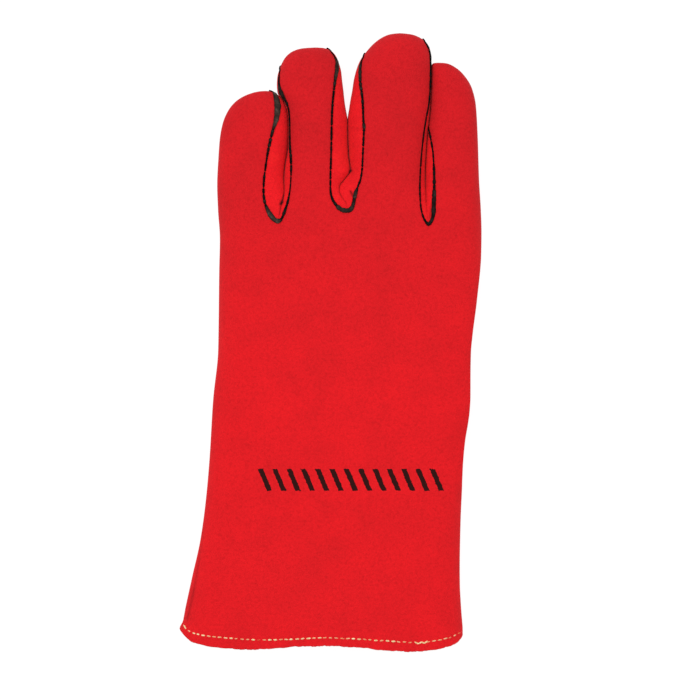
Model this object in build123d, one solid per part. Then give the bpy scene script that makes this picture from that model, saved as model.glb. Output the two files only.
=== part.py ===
from build123d import *

import os
from dataclasses import dataclass

# Left-hand welding gauntlet, laid flat on its palm with the thumb tucked under it.
#
# Frame, in millimetres: +Y runs from the cuff to the fingertips, +X points to the index finger's side and
# +Z comes out of the back of the hand. The origin is the middle of the footprint, on the surface it lies on.
#
# Each leather panel is a shell cut from a "blank": a plan outline, extruded to the glove's thickness, with
# its rims rolled over. A blank is made at any depth under the leather's outer face, so the leather, the
# lining under it and the hollow inside all come from one outline and never overlap.

# ---------------------------------------------------------------- overall sizes
LENGTH = 355.6  # 14 inch gauntlet, hem to middle fingertip
WIDTH = 173.2  # widest: the index side at the knuckles, and the little side at the hem
THICKNESS = 27.0  # laid flat, palm to back

TIP_Y = LENGTH / 2
HEM_Y = -LENGTH / 2
RIGHT_X = WIDTH / 2
LEFT_X = -WIDTH / 2

# ---------------------------------------------------------------- materials' thicknesses and clearances
LEATHER = 1.4
FLEECE = 2.0  # hand and finger lining
CANVAS = 1.0  # cuff lining
PIECE_GAP = 0.2  # between pieces of one body
BODY_GAP = 0.4  # between pieces of two bodies that move past each other
WELT = 1.2  # thickness of the black piping strip in a seam
WELT_PROUD = 0.8  # how far it stands out of the seam
LINING_SETBACK = 1.0  # how far the cuff's lining stops short of the hem

# ---------------------------------------------------------------- hand and cuff
KNUCKLE_Y = TIP_Y - 99.8  # line that the fingers bend on
CUFF_SEAM_Y = KNUCKLE_Y - 152.8  # cross seam between palm and cuff front
HAND_LEFT_X = LEFT_X + 21.7  # at the knuckles
HAND_RIGHT_X = RIGHT_X - 0.7
CUFF_RIGHT_X = RIGHT_X - 11.4
HAND_ROLL = THICKNESS * 4 / 9  # radius of the rolled sides
SEAM_Z = THICKNESS * 0.575  # height of the side seam between back and palm
HEM_CORNER = 12.0
OVERRUN = 30.0  # how far blanks run past the plane that trims them

# ---------------------------------------------------------------- fingers
FINGER_ROLL = THICKNESS * 0.4
GAP_LITTLE_RING_X = -27.6  # middle of each gap between fingers
GAP_RING_MIDDLE_X = 9.5
GAP_MIDDLE_INDEX_X = 57.0
TAPER_ROUND = 80.0  # radius where a finger's side starts to taper

# ---------------------------------------------------------------- crotches between the fingers
CROTCH_DEPTH = 8.0  # how far the fourchette's fold runs into the hand
CROTCH_HALF = LEATHER + PIECE_GAP  # two leathers of the fold, side by side

# ---------------------------------------------------------------- thumb
THUMB_THICKNESS = THICKNESS * 0.467
THUMB_ROLL = THUMB_THICKNESS * 0.44
THUMB_ROOT = (54.0, CUFF_SEAM_Y + 27.0)  # centre of the set-in seam, which the thumb swings about
THUMB_ROOT_HALF = 19.0
THUMB_TIP_HALF = 17.0
THUMB_REACH = 82.0  # root centre to tip
THUMB_FLEECE = 1.2
THUMB_HOLE = 15.0  # radius of the hole in the palm
HOLE_STEP = 1.0  # how much smaller the hole is in each next layer
TUCK_HEIGHT = THUMB_THICKNESS + BODY_GAP  # height of the palm over the tucked thumb
TUCK_LEFT_X = THUMB_ROOT[0] - THUMB_ROOT_HALF - 11.0
TUCK_Y = (THUMB_ROOT[1] - 22.0, THUMB_ROOT[1] + THUMB_REACH + 8.0)
TUCK_ROUND = 6.0

# ---------------------------------------------------------------- hem stitching and size label
STITCH_PITCH = 3.4
STITCH_LENGTH = 2.4
STITCH_THREAD = 0.7
STITCH_FROM_HEM = 5.6
STITCH_X = (LEFT_X + 14.6, CUFF_RIGHT_X - 14.2)
LABEL = (34.0, 28.0, 0.4)
LABEL_CENTRE = (-10.0, HEM_Y + 24.0)

FAR = 500.0


@dataclass
class Finger:
    """One finger's plan: its two side lines, its length, and where its welts run in from each side."""

    name: str
    left: float
    right: float
    length: float  # knuckle line to tip
    bend: float  # knuckle line to the finger's own middle bend
    rounds: tuple  # tip corner radii, left and right
    tapers: tuple  # how far each tip corner stands inside its side line
    welts: tuple  # welt inset from each side line, or None at an outer side

    @property
    def tip_y(self):
        return KNUCKLE_Y + self.length

    @property
    def bend_y(self):
        return KNUCKLE_Y + self.bend


HALF_GAP = BODY_GAP / 2
LITTLE = Finger(
    name="little",
    left=HAND_LEFT_X,
    right=GAP_LITTLE_RING_X - HALF_GAP,
    length=65.9,
    bend=30.0,
    rounds=(21.0, 12.5),
    tapers=(0.0, 2.5),
    welts=(None, 9.5),
)
RING = Finger(
    name="ring",
    left=GAP_LITTLE_RING_X + HALF_GAP,
    right=GAP_RING_MIDDLE_X - HALF_GAP,
    length=91.4,
    bend=41.0,
    rounds=(15.0, 13.0),
    tapers=(0.0, 6.5),
    welts=(4.5, 9.0),
)
MIDDLE = Finger(
    name="middle",
    left=GAP_RING_MIDDLE_X + HALF_GAP,
    right=GAP_MIDDLE_INDEX_X - HALF_GAP,
    length=TIP_Y - KNUCKLE_Y,
    bend=45.0,
    rounds=(20.0, 18.5),
    tapers=(7.5, 0.0),
    welts=(9.0, 4.0),
)
INDEX = Finger(
    name="index",
    left=GAP_MIDDLE_INDEX_X + HALF_GAP,
    right=HAND_RIGHT_X,
    length=82.3,
    bend=37.0,
    rounds=(11.5, 13.5),
    tapers=(0.0, 2.5),
    welts=(5.0, None),
)


# ---------------------------------------------------------------- shared shapes
def block(x=(-FAR, FAR), y=(-FAR, FAR), z=(-FAR, FAR)):
    """The solid between two planes on each axis."""
    low, high = zip(x, y, z)
    size = [b - a for a, b in zip(low, high)]
    return Pos(*low) * Box(*size, align=(Align.MIN, Align.MIN, Align.MIN))


def plan_face(corners):
    """A closed plan outline from (x, y, corner radius)."""
    line = FilletPolyline(*[(x, y) for x, y, _ in corners], radius=[r for _, _, r in corners], close=True)
    return make_face(line)


def blank(face, depth, roll, thickness=THICKNESS, open_ends=(True, True)):
    """The glove's solid form at a depth under its outer face, with rolled rims except at its open ends."""
    plan = offset(face, amount=-depth) if depth else face
    body = Pos(0, 0, depth) * extrude(plan, thickness - 2 * depth)
    box = body.bounding_box()
    rims = []
    for edge in body.edges():
        extent = edge.bounding_box()
        level = extent.max.Z - extent.min.Z < 0.01
        at_low_end = open_ends[0] and extent.max.Y < box.min.Y + 0.01
        at_high_end = open_ends[1] and extent.min.Y > box.max.Y - 0.01
        if level and not at_low_end and not at_high_end:
            rims.append(edge)
    return fillet(rims, roll - depth)


def largest(shape):
    """A shape's main solid, without crumbs left by a cut."""
    return max(shape.solids(), key=lambda s: s.volume)


def save(name, *shapes):
    """Writes one node from its solids."""
    solids = [s for shape in shapes for s in shape.solids()]
    export_step(solids[0] if len(solids) == 1 else Compound(children=solids), f"parts/{name}.step")


# ---------------------------------------------------------------- hand and cuff
def hand_plan():
    """Outline of hand and cuff, run past the knuckles and past the hem."""
    top = KNUCKLE_Y + OVERRUN
    bottom = HEM_Y - OVERRUN
    return plan_face(
        [
            (HAND_LEFT_X, top, 0),
            (HAND_LEFT_X + 0.6, KNUCKLE_Y - 70, 200),
            (HAND_LEFT_X - 8.0, CUFF_SEAM_Y - 25, 200),
            (LEFT_X - 7.5, bottom, 0),
            (CUFF_RIGHT_X, bottom, 0),
            (CUFF_RIGHT_X - 1.4, CUFF_SEAM_Y - 35, 200),
            (HAND_RIGHT_X - 5.9, KNUCKLE_Y - 88, 200),
            (RIGHT_X, KNUCKLE_Y - 18, 60),
            (HAND_RIGHT_X, top, 0),
        ]
    )


def hem_trim(depth=0.0):
    """What the hem's outline keeps, pulled up from the hem by a depth."""
    hem = HEM_Y + depth
    return extrude(
        plan_face(
            [
                (LEFT_X, KNUCKLE_Y + OVERRUN, 0),
                (LEFT_X, hem, HEM_CORNER),
                (CUFF_RIGHT_X, hem, HEM_CORNER),
                (CUFF_RIGHT_X, HEM_Y + 40, 30),
                (RIGHT_X, KNUCKLE_Y - 98, 30),
                (RIGHT_X, KNUCKLE_Y + OVERRUN, 0),
            ]
        ),
        FAR,
    )


def tuck_space(depth):
    """The space under the palm that the tucked thumb lies in, grown by a depth."""
    x, y, z = TUCK_LEFT_X - depth, (TUCK_Y[0] - depth, TUCK_Y[1] + depth), TUCK_HEIGHT + depth
    space = block((x, FAR), y, (-FAR, z))
    edges = [e for e in space.edges() if abs(e.center().Z - z) < 0.01 and e.center().X < FAR - 1]
    return fillet(edges, TUCK_ROUND + depth)


def crotch_slot(x, half, base=0.0):
    """A round-ended slot across the whole thickness, for one fold between two fingers."""
    end = KNUCKLE_Y - CROTCH_DEPTH + base
    web = block((x - half, x + half), (end + half, KNUCKLE_Y + OVERRUN), (-1, THICKNESS + 1))
    return web + Pos(x, end + half, -1) * Cylinder(
        half, THICKNESS + 2, align=(Align.CENTER, Align.CENTER, Align.MIN)
    )


def gap_lines():
    return {
        "little_ring": GAP_LITTLE_RING_X,
        "ring_middle": GAP_RING_MIDDLE_X,
        "middle_index": GAP_MIDDLE_INDEX_X,
    }


def root_disc(radius, low, high):
    return Pos(*THUMB_ROOT, low) * Cylinder(radius, high - low, align=(Align.CENTER, Align.CENTER, Align.MIN))


def make_hand():
    plan = hand_plan()

    def form(depth):
        return blank(plan, depth, HAND_ROLL) - tuck_space(depth)

    outer = form(0)
    leather_inner = form(LEATHER)
    lining_outer = form(LEATHER + PIECE_GAP)
    fleece_inner = form(LEATHER + PIECE_GAP + FLEECE)
    canvas_inner = form(LEATHER + PIECE_GAP + CANVAS)

    front = KNUCKLE_Y - HALF_GAP
    half_piece = PIECE_GAP / 2
    slots = [crotch_slot(x, CROTCH_HALF + PIECE_GAP + WELT) for x in gap_lines().values()]
    narrow_slots = [crotch_slot(x, CROTCH_HALF + PIECE_GAP) for x in gap_lines().values()]

    leather = (outer - leather_inner) & hem_trim()
    back = leather & block(y=(HEM_Y, front), z=(SEAM_Z + half_piece, FAR))
    for slot in slots:
        back -= slot
    save("back_panel", largest(back))

    palm = leather & block(y=(CUFF_SEAM_Y + half_piece, front), z=(-1, SEAM_Z - half_piece))
    for slot in narrow_slots:
        palm -= slot
    palm -= root_disc(THUMB_HOLE, 0, SEAM_Z)
    save("palm_panel", largest(palm))

    cuff = leather & block(y=(HEM_Y, CUFF_SEAM_Y - half_piece), z=(-1, SEAM_Z - half_piece))
    save("cuff_front_panel", largest(cuff))

    hand_lining = (lining_outer - fleece_inner) & block(y=(CUFF_SEAM_Y + half_piece, front))
    for slot in narrow_slots:
        hand_lining -= slot
    hand_lining -= root_disc(THUMB_HOLE - HOLE_STEP, 0, THICKNESS - HAND_ROLL + FLEECE)
    save("hand_lining", largest(hand_lining))

    cuff_lining = (lining_outer - canvas_inner) & block(y=(-FAR, CUFF_SEAM_Y - half_piece))
    save("cuff_lining", largest(cuff_lining & hem_trim(LINING_SETBACK)))

    for name, x in gap_lines().items():
        fold = crotch_slot(x, CROTCH_HALF) & block(y=(-FAR, front), z=(0, THICKNESS))
        save(f"fourchette_crotch_{name}", fold)

    loops = []
    inner_half = CROTCH_HALF + half_piece
    for x in gap_lines().values():
        ring = crotch_slot(x, inner_half + WELT) - crotch_slot(x, inner_half)
        loops.append(largest(ring & block(y=(-FAR, front), z=(THICKNESS - LEATHER, THICKNESS + WELT_PROUD))))
    save("crotch_welts", *loops)


# ---------------------------------------------------------------- fingers
def finger_plan(finger):
    base = KNUCKLE_Y - OVERRUN
    left_tip = finger.left + finger.tapers[0]
    right_tip = finger.right - finger.tapers[1]
    corners = [(finger.left, base, 0)]
    if finger.tapers[0]:
        corners.append((finger.left, finger.bend_y, TAPER_ROUND))
    corners.append((left_tip, finger.tip_y, finger.rounds[0]))
    corners.append((right_tip, finger.tip_y, finger.rounds[1]))
    if finger.tapers[1]:
        corners.append((finger.right, finger.bend_y, TAPER_ROUND))
    corners.append((finger.right, base, 0))
    return plan_face(corners)


def make_finger(finger):
    """One finger's leather, welts and lining, each in a base and a tip segment."""
    plan = finger_plan(finger)

    def form(depth):
        return blank(plan, depth, FINGER_ROLL, open_ends=(True, False))

    leather = form(0) - form(LEATHER)
    welt_form = (form(-WELT_PROUD) - form(LEATHER)) & block(z=(0, FAR))
    lining = form(LEATHER + PIECE_GAP) - form(LEATHER + PIECE_GAP + FLEECE)

    edge = WELT / 2 + PIECE_GAP  # from a welt's middle to the leather beside it
    left_welt = None if finger.welts[0] is None else finger.left + finger.welts[0]
    right_welt = None if finger.welts[1] is None else finger.right - finger.welts[1]
    middle_x = (
        -FAR if left_welt is None else left_welt + edge,
        FAR if right_welt is None else right_welt - edge,
    )
    spans = {
        "base": (KNUCKLE_Y + HALF_GAP, finger.bend_y - HALF_GAP),
        "tip": (finger.bend_y + HALF_GAP, FAR),
    }
    for part, span in spans.items():
        name = f"{finger.name}_{part}"
        save(f"{name}_back", largest(leather & block(middle_x, span, (SEAM_Z + PIECE_GAP / 2, FAR))))
        save(f"{name}_palm", largest(leather & block(middle_x, span, (-1, SEAM_Z - PIECE_GAP / 2))))
        sides, welts = [], []
        if left_welt is not None:
            sides.append(largest(leather & block((-FAR, left_welt - edge), span)))
            welts.append(welt_form & block((left_welt - WELT / 2, left_welt + WELT / 2), span))
        if right_welt is not None:
            sides.append(largest(leather & block((right_welt + edge, FAR), span)))
            welts.append(welt_form & block((right_welt - WELT / 2, right_welt + WELT / 2), span))
        save(f"{name}_fourchettes", *sides)
        save(f"{name}_welts", *welts)
        save(f"{name}_lining", largest(lining & block(y=span)))


# ---------------------------------------------------------------- thumb
def make_thumb():
    """The set-in thumb, tucked flat under the palm. It swings about the middle of its round seam."""
    x, y = THUMB_ROOT
    plan = plan_face(
        [
            (x - THUMB_ROOT_HALF, y - THUMB_ROOT_HALF, THUMB_ROOT_HALF - 0.5),
            (x - THUMB_ROOT_HALF, y + 20, 60),
            (x - THUMB_TIP_HALF, y + THUMB_REACH, THUMB_TIP_HALF - 1.0),
            (x + THUMB_TIP_HALF, y + THUMB_REACH, THUMB_TIP_HALF - 1.0),
            (x + THUMB_ROOT_HALF, y + 20, 60),
            (x + THUMB_ROOT_HALF, y - THUMB_ROOT_HALF, THUMB_ROOT_HALF - 0.5),
        ]
    )

    def form(depth):
        return blank(plan, depth, THUMB_ROLL, THUMB_THICKNESS, open_ends=(False, False))

    lining_depth = LEATHER + PIECE_GAP
    leather = form(0) - form(LEATHER)
    welt_form = form(-WELT_PROUD) - form(LEATHER)
    lining = form(lining_depth) - form(lining_depth + THUMB_FLEECE)
    middle = THUMB_THICKNESS / 2
    edge = WELT / 2 + PIECE_GAP
    upper = leather & block(z=(middle + edge, FAR))
    save("thumb_back_panel", largest(upper - root_disc(THUMB_HOLE - HOLE_STEP, middle, FAR)))
    save("thumb_front_panel", largest(leather & block(z=(-1, middle - edge))))
    save("thumb_side_welt", largest(welt_form & block(z=(middle - WELT / 2, middle + WELT / 2))))
    save("thumb_lining", largest(lining - root_disc(THUMB_HOLE - 2 * HOLE_STEP, middle, FAR)))

    low = THUMB_THICKNESS + (TUCK_HEIGHT - THUMB_THICKNESS) / 2
    ring = root_disc(THUMB_HOLE - PIECE_GAP, low, TUCK_HEIGHT + LEATHER) - root_disc(
        THUMB_HOLE - PIECE_GAP - WELT, low, TUCK_HEIGHT + LEATHER
    )
    save("thumb_seam_welt", ring)


# ---------------------------------------------------------------- stitching and label
def make_trim():
    """The hem's visible row of stitches on the back, and the blank size label inside the cuff."""
    thread = STITCH_THREAD / 2
    stitch = Rot(0, 90, 0) * Cylinder(thread, STITCH_LENGTH)
    stitch = stitch & block(z=(0, FAR))
    first, last = STITCH_X
    row = HEM_Y + STITCH_FROM_HEM
    count = int((last - first) / STITCH_PITCH) + 1
    save("hem_stitches", *[Pos(first + i * STITCH_PITCH, row, THICKNESS) * stitch for i in range(count)])

    width, length, thick = LABEL
    floor = LEATHER + PIECE_GAP + CANVAS
    label = Box(width, length, thick, align=(Align.CENTER, Align.CENTER, Align.MIN))
    save("size_label", Pos(*LABEL_CENTRE, floor) * label)


if __name__ == "__main__":
    os.makedirs("parts", exist_ok=True)
    make_hand()
    for one in (LITTLE, RING, MIDDLE, INDEX):
        make_finger(one)
    make_thumb()
    make_trim()
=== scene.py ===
"""Looks of a left-hand welding gauntlet that lies on its palm, seen from above.

The glove's skin is one pair of height functions, top and bottom, over the plan (x, y), in millimetres.
Panels, side strips, piping and linings are patches of those functions between the same few lines, so they
meet exactly. Rows of constant y make every patch, which lets each finger be cut into pieces at rows.
"""

import math

import bpy
import numpy as np
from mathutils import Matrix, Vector, noise


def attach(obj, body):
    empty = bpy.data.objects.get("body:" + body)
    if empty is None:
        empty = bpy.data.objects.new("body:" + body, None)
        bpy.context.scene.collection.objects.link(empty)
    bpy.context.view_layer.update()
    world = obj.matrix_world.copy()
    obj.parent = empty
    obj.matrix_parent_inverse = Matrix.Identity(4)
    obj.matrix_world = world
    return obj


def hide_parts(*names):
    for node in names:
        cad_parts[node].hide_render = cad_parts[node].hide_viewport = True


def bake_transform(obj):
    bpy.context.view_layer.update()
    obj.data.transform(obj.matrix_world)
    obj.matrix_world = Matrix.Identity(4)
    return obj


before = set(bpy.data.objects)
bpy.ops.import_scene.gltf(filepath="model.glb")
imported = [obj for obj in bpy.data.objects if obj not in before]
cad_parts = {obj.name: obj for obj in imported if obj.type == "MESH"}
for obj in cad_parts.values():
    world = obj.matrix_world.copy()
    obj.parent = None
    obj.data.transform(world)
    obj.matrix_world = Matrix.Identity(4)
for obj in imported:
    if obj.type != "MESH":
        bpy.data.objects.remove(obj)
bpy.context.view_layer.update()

MM = 0.001
HEM = -178.0  # the hem's row before it is curved
CUFF_SEAM = -75.0  # row of the seam between palm and cuff
HAND_TOP = 79.0  # last row of the hand, just past the highest crotch
ROOT_TOP = 97.0  # last row of a finger's root pieces
OUTLINE_TOP = 100.0  # last row that the hand's own outline is followed to, above the crotches
LEATHER = 1.4
FINGER_LINING, THUMB_LINING, HAND_LINING, CUFF_LINING = 2.2, 2.0, 3.4, 2.5  # depths under the skin
rng = np.random.default_rng(7)


# ======== curves
def slopes(s, v):
    """Slopes for a monotone cubic through v at s."""
    step = np.diff(s)
    rise = np.diff(v) / step
    m = np.zeros_like(v)
    for i in range(1, len(v) - 1):
        if rise[i - 1] * rise[i] > 0:
            a, b = 2 * step[i] + step[i - 1], step[i] + 2 * step[i - 1]
            m[i] = (a + b) / (a / rise[i - 1] + b / rise[i])
    m[0], m[-1] = rise[0], rise[-1]
    return m


def cubic(s, v, at):
    """A smooth curve through v at s, with no overshoot, read at some places."""
    s, v = np.asarray(s, float), np.asarray(v, float)
    m = slopes(s, v)
    at = np.clip(at, s[0], s[-1])
    i = np.clip(np.searchsorted(s, at, side="right") - 1, 0, len(s) - 2)
    h = s[i + 1] - s[i]
    t = (at - s[i]) / h
    return (
        (1 + 2 * t) * (1 - t) ** 2 * v[i]
        + t * (1 - t) ** 2 * h * m[i]
        + t * t * (3 - 2 * t) * v[i + 1]
        + t * t * (t - 1) * h * m[i + 1]
    )


class Line:
    """A line in plan that climbs in y, from a few (x, y) points. Line(y) is its x."""

    def __init__(self, *points):
        p = np.array(points, float)
        s = np.concatenate([[0], np.cumsum(np.linalg.norm(np.diff(p, axis=0), axis=1))])
        fine = np.linspace(0, s[-1], 40 * len(p))
        self.x, self.y = cubic(s, p[:, 0], fine), cubic(s, p[:, 1], fine)
        self.low, self.high = p[0, 1], p[-1, 1]

    def __call__(self, y):
        return np.interp(y, self.y, self.x)


def profile(*pairs):
    """A value that varies with one coordinate, from a few (coordinate, value) pairs."""
    s, v = np.array(pairs, float).T
    return lambda at: cubic(s, v, at)


def smooth(low, high, at):
    t = np.clip((at - low) / (high - low), 0, 1)
    return t * t * (3 - 2 * t)


# ======== outlines and lines, in millimetres
LEFT = Line(
    (-87.2, -178), (-86.7, -172), (-86, -168.5), (-85.3, -165), (-84.7, -160), (-84, -154.5), (-80.3, -136.5),
    (-75.2, -113.5), (-72.1, -91), (-70, -68), (-67.8, -33), (-64.9, -4.5), (-64.6, 13), (-64.3, 41),
    (-63.9, 59), (-64.9, 76), (-65.4, 90), (-64.7, 106), (-63.9, 117), (-62.2, 126), (-59.1, 133.2),
    (-54, 139.1), (-47.5, 142.7), (-41.5, 144.4), (-37, 144.8),
)
RIGHT = Line(
    (76.4, -178), (76.4, -172), (76.2, -166), (75.8, -159), (75.3, -150), (74.8, -140), (74.7, -131),
    (75.2, -103), (76, -85), (76.7, -71), (78.1, -56), (79.6, -47), (80.6, -39), (81, -31), (81, -19),
    (81.2, -6), (82, 3), (84.6, 24), (86.9, 50), (87.1, 63), (86.6, 77), (85.6, 93), (84.9, 116),
    (83.8, 136), (81.5, 146), (77.6, 152.8), (72.4, 157.9), (67, 160.6), (63.8, 161),
)

# lowest point of each gap between fingers
CROTCHES = ((-30.1, 69.2), (9.1, 75.2), (56, 67.3))
CROTCH_1, CROTCH_2, CROTCH_3 = CROTCHES

# where neighbouring fingers touch; below the crotch each goes on as a plain boundary down the hand
LANE_1 = [
    (-46, -178), (-37, -60), (-31.5, 40), CROTCH_1, (-29, 73.5), (-27.9, 79.5), (-26.7, 84), (-26.5, 88),
    (-26.8, 93.7), (-26.4, 100), (-25.4, 106.5), (-24.5, 112), (-24.3, 118), (-24.4, 127), (-24.9, 131.8),
    (-26.1, 136.6), (-27.8, 139.8), (-29.9, 142),
]
LANE_2 = [
    (-4, -178), (2, -60), (8, 40), CROTCH_2, (9.2, 78.6), (6.6, 83.1), (5.1, 86.5), (5.1, 89), (7.6, 92.8),
    (9.8, 95.6), (11.4, 98.1), (11.1, 102), (10.4, 107.4), (10, 116), (9.8, 128.5),
]
LANE_3 = [
    (42, -178), (48, -60), (54.5, 40), CROTCH_3, (55.2, 74), (54.8, 82), (54.5, 97), (55.2, 112),
    (56.3, 123.7), (57.3, 133), (57.9, 143), (58.1, 152), (58.1, 158),
]

LITTLE_RIGHT = Line(*LANE_1, (-31.2, 142.9), (-33, 143.8), (-34.8, 144.5), (-37, 144.8))
RING_LEFT = Line(
    *LANE_1, (-30.5, 143.4), (-30.9, 148), (-30.5, 153.4), (-29.6, 156.5),
    (-28, 160.5), (-25.8, 164.2), (-22.2, 167.3), (-16.8, 169.1), (-9, 169.7),
)
RING_RIGHT = Line(
    *LANE_2, (9.5, 130.4), (8.9, 133.4), (8.1, 138.5), (7.4, 144.9), (6.7, 150.6), (6.1, 156), (5, 160),
    (3.7, 163.6), (2, 166.2), (-0.4, 168.2), (-3.6, 169.4), (-9, 169.7),
)
MIDDLE_LEFT = Line(
    *LANE_2, (10, 130.4), (10.5, 133.2), (11.3, 138.5), (12.5, 145), (13.3, 150.4), (14.5, 155.5),
    (16, 159.9), (17.9, 163.6), (20.5, 167), (24, 171), (28.8, 174.9), (34, 177.2), (40, 177.9),
)
MIDDLE_RIGHT = Line(
    *LANE_3, (57.9, 163.5), (57.3, 168.3), (55.4, 172.2), (52, 175), (47, 177.1), (40, 177.9),
)
INDEX_LEFT = Line(*LANE_3, (58.1, 160), (58.6, 160.8), (63.8, 161))

# seams with black piping, on the back; what lies between two of them is a fourchette, a red side strip
SEAM_1L = Line(
    CROTCH_1, (-31.7, 69.9), (-33.4, 71.5), (-35.9, 75.6), (-37.8, 80.9), (-38.3, 86.2), (-38.1, 92.6),
    (-37.2, 100), (-36.2, 107), (-33.1, 121.2), (-31.8, 125.5), (-30.8, 129.7), (-30.4, 135), (-30.8, 138.3),
    (-31.5, 141), (-32.2, 142.6), (-33.6, 143.8), (-36, 144.6),
)
SEAM_1R = Line(
    CROTCH_1, (-28.9, 69.6), (-27.9, 70.7), (-25.9, 75.6), (-24.5, 79.8), (-23.2, 86.2), (-22.6, 92.6),
    (-22.4, 100), (-22.6, 106.4), (-23, 111.7), (-23.1, 119), (-23.2, 125.5), (-23.6, 131.9), (-24.9, 137.2),
    (-27.3, 141.4), (-29, 145.7), (-29.5, 149.9), (-29.2, 154.2), (-28.2, 158.4),
)
SEAM_2L = Line(
    CROTCH_2, (7.2, 75.5), (4.9, 76.8), (2.8, 79), (1.2, 81.6), (0.2, 85), (-0.1, 89.4), (0, 96), (0.2, 102),
    (0.4, 111), (0.6, 121), (0.8, 129.7), (1.2, 137.2), (1.7, 142.5), (2.4, 148.9), (3, 153.1), (3.6, 156.8),
    (3.6, 160.2), (2.2, 163.9), (0, 167), (-2.5, 169),
)
SEAM_2R = Line(
    CROTCH_2, (10.9, 75.5), (12.4, 77), (13.3, 79.8), (14.2, 84.4), (15.9, 89.4), (17.1, 92.6), (18.1, 97.9),
    (18.5, 104.3), (18.8, 111.7), (19.1, 118.1), (19.3, 122.3), (18.9, 127.6), (18.7, 134), (18.4, 139.3),
    (17.9, 143.6), (17.3, 147.8), (17.1, 153.1), (17.2, 157.3), (17.8, 160.5), (18.8, 163.2), (20.4, 166),
)
SEAM_3L = Line(
    CROTCH_3, (54.3, 69.2), (52.4, 73.8), (51.5, 79), (51.1, 89), (51.3, 96), (51.8, 104.2), (52.5, 112),
    (53.3, 119.2), (54.2, 125), (55.1, 130.4), (56, 134.8), (56.5, 138.7), (56.9, 144), (57.1, 149.2),
    (57.3, 157.4), (57.2, 163.7), (56.4, 168), (54.7, 171.5), (52, 174.2),
)
# the index finger's seam ends out of sight, down the side that the middle finger lies against
SEAM_3R = Line(
    CROTCH_3, (57.3, 68.6), (58.4, 70.8), (59.1, 74.6), (59.3, 80.9), (59.5, 89), (59.5, 97), (59.2, 104),
    (58.9, 108.5), (57.9, 115.4), (57.1, 120), (56.4, 123.7), (54, 130), (54, 156),
)

# piping width along each seam, by y
WIDTH_1L = profile(
    (69, 2.3), (71.5, 2.8), (75.6, 2.1), (81, 1.4), (90, 1.2), (107, 1.2), (113, 1.4), (121, 1.9),
    (125.5, 2.4), (129.7, 3.2), (135, 3.9), (138.3, 3.5), (141, 2.9), (142.8, 2.2), (143.7, 1.1),
    (144.6, 0.6),
)
WIDTH_1R = profile(
    (69, 2.3), (71, 1.5), (76, 1.4), (81, 1.2), (85, 0.8), (93, 0.75), (97, 1.1), (106.4, 1.7), (111.7, 1.8),
    (119, 1.1), (132, 1.2), (138, 2), (141.6, 3.4), (146, 2.4), (151, 1.2), (158, 0.6),
)
WIDTH_2L = profile(
    (75, 2.6), (76.8, 2.3), (79, 1.6), (82, 1.2), (90, 1), (110, 1.1), (121, 1.3), (137, 1.3), (142, 1.4),
    (149, 1.7), (153, 2.1), (157, 2.6), (160.5, 2.4), (163.5, 1.4), (166, 0.8), (169, 0.5),
)
WIDTH_2R = profile(
    (75, 2.6), (77, 2.3), (80, 1.9), (84, 2.1), (87, 1.7), (92, 1.1), (104, 1.1), (118, 1.4), (122, 1.7),
    (128, 1.2), (134, 1.4), (143, 1.5), (148, 1.9), (153, 2.2), (158, 2.1), (160.5, 1.4), (163, 0.8),
    (166, 0.5),
)
WIDTH_3L = profile(
    (67, 1.8), (70, 1.4), (75, 1), (90, 0.9), (120, 0.9), (140, 1.1), (160, 1.4), (168, 1.4), (172, 1),
    (174, 0.6),
)
WIDTH_3R = profile(
    (67, 1.8), (70, 2), (76, 2.2), (83, 2.3), (88, 1.7), (97, 1.5), (107, 1), (110, 1.2), (119, 1.3),
    (122, 0.9), (125, 0.6), (160, 0.6),
)

# heights of the side seams and of the back's crest, by y
SIDE_SEAM_LEFT = profile((-178, 9.5), (-90, 11), (0, 12), (80, 12), (180, 11.5))
SIDE_SEAM_RIGHT = profile((-178, 9.5), (-95, 11), (-66, 17.4), (-10, 18), (36, 17.2), (62, 12.6), (180, 11.5))
HAND_CREST = profile((-178, 23.6), (-150, 22.6), (-110, 22.8), (-60, 24.4), (0, 26), (50, 26.6), (100, 26.4))
LITTLE_CREST = profile((60, 26), (90, 24.4), (130, 22.4))
RING_CREST = profile((60, 26.4), (100, 25.6), (160, 23.6))
MIDDLE_CREST = profile((60, 26.6), (100, 26.4), (165, 24.6))
INDEX_CREST = profile((60, 26.2), (95, 24.4), (150, 21.8))

TUCK_ROOF = 13.4  # height of the palm over the tucked thumb
GAP_SHADE = (0.22, 0.25, 0.1)  # how dark the painted shadow line is where two fingers touch in each gap

# pleats, folds and shaded strips, along which shade is painted: two ends, half width and darkness
CREASES = (
    ((-28.5, 79.2), (-27.5, 80.6), 0.95, 1.0),
    ((-27.7, 81), (-26.9, 84.5), 0.5, 0.6),
    ((-29.3, 73.4), (-28.6, 78), 0.45, 0.35),
    ((11.0, 97.8), (12.0, 98.6), 0.75, 1.0),
    ((11.4, 86.4), (12.9, 83.4), 0.6, 0.9),
    ((11.3, 122.4), (18.2, 122.4), 0.45, 0.18),
    ((13.6, 92), (14.4, 126), 3.2, 0.1),
    ((56.9, 71.5), (58.3, 79), 0.8, 0.5),
    ((-73, -107), (-75.4, -125), 0.5, 0.16),
    ((-75.4, -125), (-78.4, -142), 0.55, 0.3),
    ((-78.4, -142), (-82.4, -161.5), 0.65, 0.36),
)


def tuck(x, y):
    """Height of the palm's underside, raised where the thumb lies."""
    across = smooth(14, 35, x)
    along = smooth(-110, -64, y) * (1 - smooth(30, 84, y))
    return TUCK_ROOF * across * along


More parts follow.
